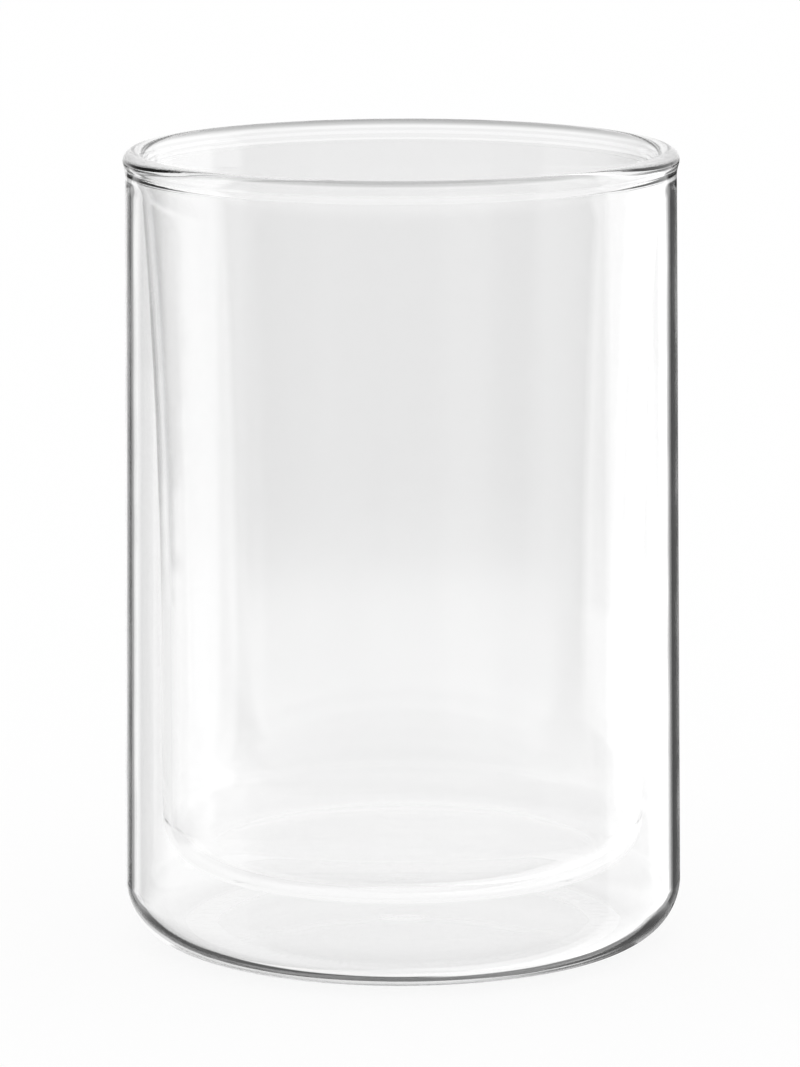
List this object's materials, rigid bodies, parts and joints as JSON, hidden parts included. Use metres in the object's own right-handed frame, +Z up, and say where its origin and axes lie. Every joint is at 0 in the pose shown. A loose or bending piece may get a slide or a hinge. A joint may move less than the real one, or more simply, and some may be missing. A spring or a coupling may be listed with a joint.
{
  "type": "double-walled glass tumbler",
  "caption": "Clear double-walled drinking glass: an outer and an inner blown vessel fused at a rounded rim, with a sealed air gap that insulates the drink.",
  "frame": {"origin": "centre of the base, on the surface that the glass stands on", "axes": "+Z up along the axis of the glass, +X and +Y across it"},
  "size_m": [0.082, 0.082, 0.1164],
  "materials": {
    "outer_glass": "clear blown borosilicate glass, fire-polished",
    "inner_glass": "clear blown borosilicate glass, fire-polished",
    "rim_glass": "clear glass, melted round in the flame",
    "seal_glass": "clear glass button, melted on"
  },
  "bodies": {
    "root": {"outer_vessel": "outer_glass", "inner_vessel": "inner_glass", "rim_bead": "rim_glass", "vent_seal": "seal_glass"}
  },
  "joints": []
}
